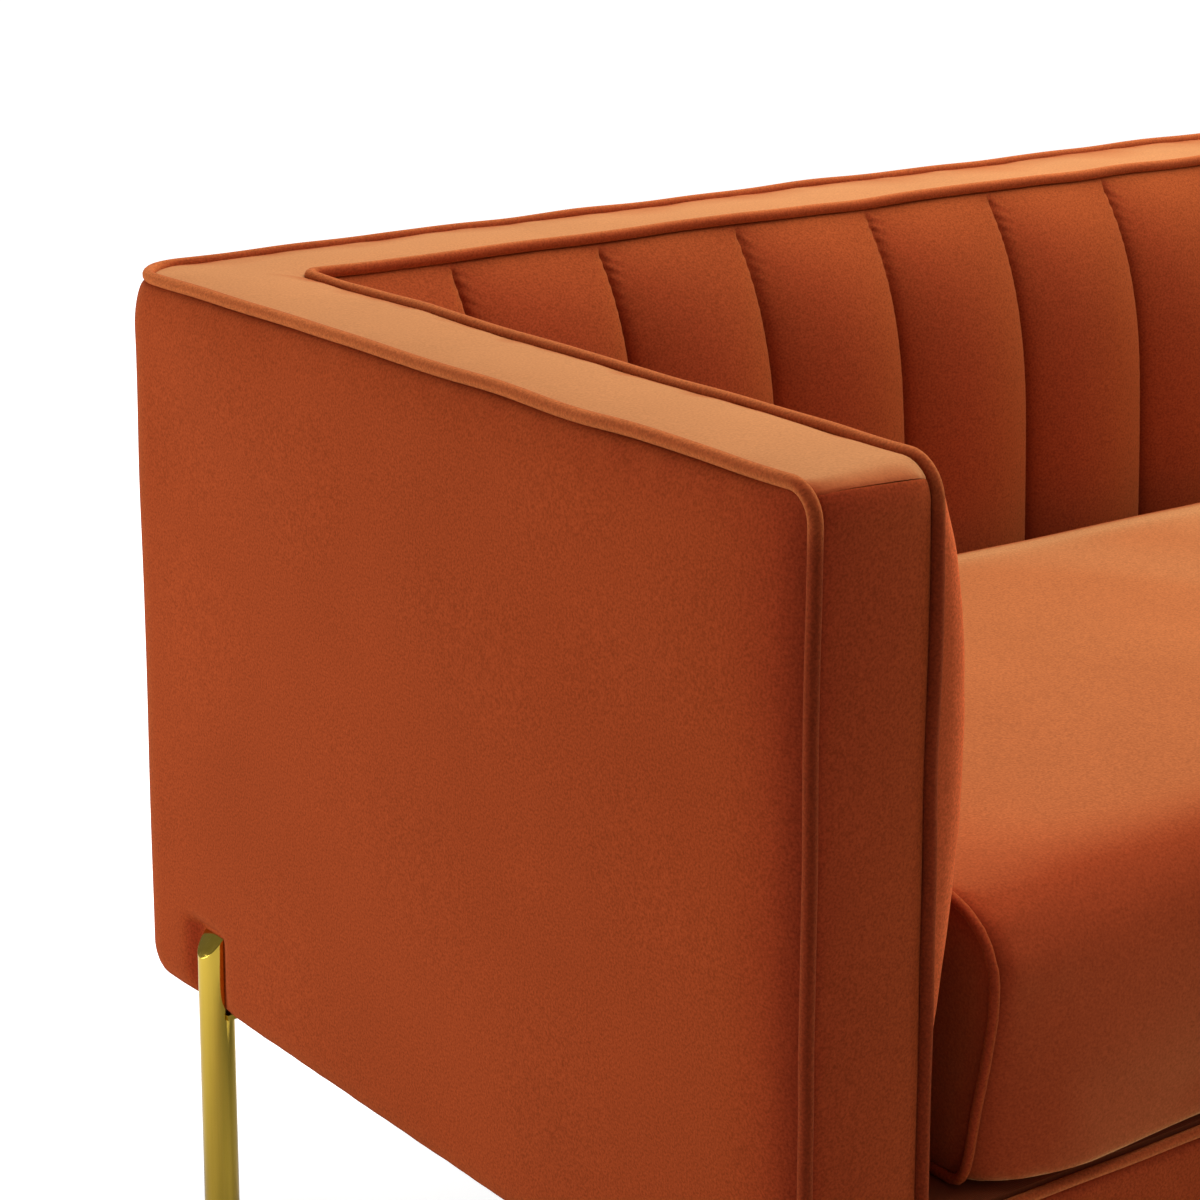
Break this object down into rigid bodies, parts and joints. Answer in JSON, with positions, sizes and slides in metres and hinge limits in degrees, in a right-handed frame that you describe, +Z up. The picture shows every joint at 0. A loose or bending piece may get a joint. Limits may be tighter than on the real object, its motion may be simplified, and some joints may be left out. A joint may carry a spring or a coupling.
{
  "type": "tuxedo sofa",
  "caption": "Tuxedo sofa with arms as high as its channelled back, piped edges, a loose bench cushion and slim brass tube legs.",
  "frame": {"origin": "on the floor, under the middle of the sofa", "axes": "+X along the sofa from its left arm, seen from the front, to its right arm; the front faces -Y; +Z up"},
  "size_m": [2.112, 0.868, 0.7606],
  "materials": {
    "velvet": "short-pile burnt orange velvet",
    "velvet_piping": "burnt orange velvet sewn over cord",
    "deck_cloth": "plain rust decking cloth over thin foam",
    "cambric": "black non-woven dust cloth",
    "webbing": "elastic upholstery webbing",
    "timber": "planed kiln-dried timber, unfinished",
    "brass": "satin brushed brass",
    "nylon": "black nylon floor glide"
  },
  "bodies": {
    "sofa_frame": {"arm_top_rail_left": "timber", "arm_bottom_rail_left": "timber", "arm_rear_post_left": "timber", "arm_front_post_left": "timber", "seat_stretcher_left": "timber", "corner_block_front_left": "timber", "corner_block_rear_left": "timber", "arm_front_panel_left": "velvet", "side_pad_left": "velvet", "arm_pad_left": "velvet", "arm_top_rail_right": "timber", "arm_bottom_rail_right": "timber", "arm_rear_post_right": "timber", "arm_front_post_right": "timber", "seat_stretcher_right": "timber", "corner_block_front_right": "timber", "corner_block_rear_right": "timber", "arm_front_panel_right": "velvet", "side_pad_right": "velvet", "arm_pad_right": "velvet", "back_top_rail": "timber", "back_bottom_rail": "timber", "seat_front_rail": "timber", "seat_rear_rail": "timber", "back_upright_1": "timber", "back_upright_2": "timber", "back_upright_3": "timber", "webbing_strap_1": "webbing", "webbing_strap_2": "webbing", "webbing_strap_3": "webbing", "webbing_strap_4": "webbing", "webbing_strap_5": "webbing", "webbing_strap_6": "webbing", "webbing_strap_7": "webbing", "webbing_cross_1": "webbing", "webbing_cross_2": "webbing", "outer_piping": "velvet_piping", "inner_piping": "velvet_piping", "base_rail_piping": "velvet_piping", "top_band": "velvet", "back_pad": "velvet", "channelled_back": "velvet", "seat_deck": "deck_cloth", "front_rail_cover": "velvet", "dust_cover": "cambric", "leg_tube_front_left": "brass", "leg_plate_front_left": "brass", "leg_glide_front_left": "nylon", "leg_tube_rear_left": "brass", "leg_plate_rear_left": "brass", "leg_glide_rear_left": "nylon", "leg_tube_front_right": "brass", "leg_plate_front_right": "brass", "leg_glide_front_right": "nylon", "leg_tube_rear_right": "brass", "leg_plate_rear_right": "brass", "leg_glide_rear_right": "nylon"},
    "seat_cushion": {"seat_cushion": "velvet", "cushion_piping_left": "velvet_piping", "cushion_piping_right": "velvet_piping"}
  },
  "joints": [
    {"name": "cushion_lift", "type": "slide", "parent": "sofa_frame", "child": "seat_cushion", "axis": [0, 0, 1], "range_m": [0, 0.5]}
  ]
}
